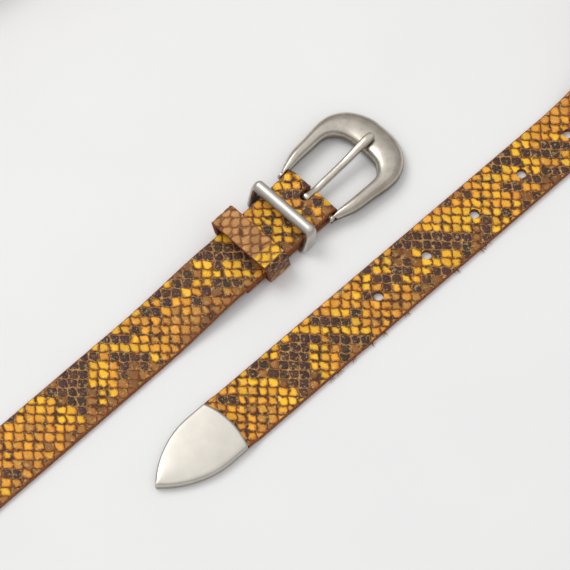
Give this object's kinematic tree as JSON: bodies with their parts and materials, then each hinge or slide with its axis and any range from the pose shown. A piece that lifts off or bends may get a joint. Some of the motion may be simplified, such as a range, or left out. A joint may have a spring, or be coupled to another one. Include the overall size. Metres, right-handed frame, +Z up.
{
  "type": "snake print belt",
  "caption": "Snake print leather belt with a D-shaped metal buckle, a metal keeper, a leather loop and a pointed metal tip cap, laid on a table unfastened.",
  "frame": {"origin": "on the table under the middle of the belt's box, as the belt lies", "axes": "+X from the buckle's bar to its far end, along the belt's longest side; +Y across the strap beside the buckle; +Z up from the table"},
  "size_m": [0.4646, 0.2386, 0.0255],
  "materials": {
    "snake_print_leather": "embossed and printed snake scales in mustard, orange brown and dark purple brown, semi-gloss",
    "loop_leather": "paler print of the same leather, semi-gloss",
    "satin_nickel_sheet": "pressed sheet with smooth satin nickel plating",
    "antique_nickel": "cast zinc with antique satin nickel plating, darker along its edges"
  },
  "bodies": {
    "strap_and_tip": {"strap": "snake_print_leather", "leather_loop": "loop_leather", "tip_cap": "satin_nickel_sheet"},
    "buckle": {"buckle_frame": "antique_nickel", "buckle_bar": "antique_nickel"},
    "tongue": {"tongue": "antique_nickel"},
    "keeper": {"metal_keeper": "antique_nickel"}
  },
  "joints": [
    {"name": "buckle_hinge", "type": "hinge", "parent": "strap_and_tip", "child": "buckle", "pos_m": [0.03541, -0.05233, 0.0046], "axis": [0, -1, 0], "range_deg": [0, 40]},
    {"name": "tongue_hinge", "type": "hinge", "parent": "buckle", "child": "tongue", "pos_m": [0.03541, -0.05233, 0.0046], "axis": [0, -1, 0], "range_deg": [0, 60]},
    {"name": "keeper_slide", "type": "slide", "parent": "strap_and_tip", "child": "keeper", "axis": [1, 0, 0], "range_m": [-0.006, 0.002]}
  ]
}
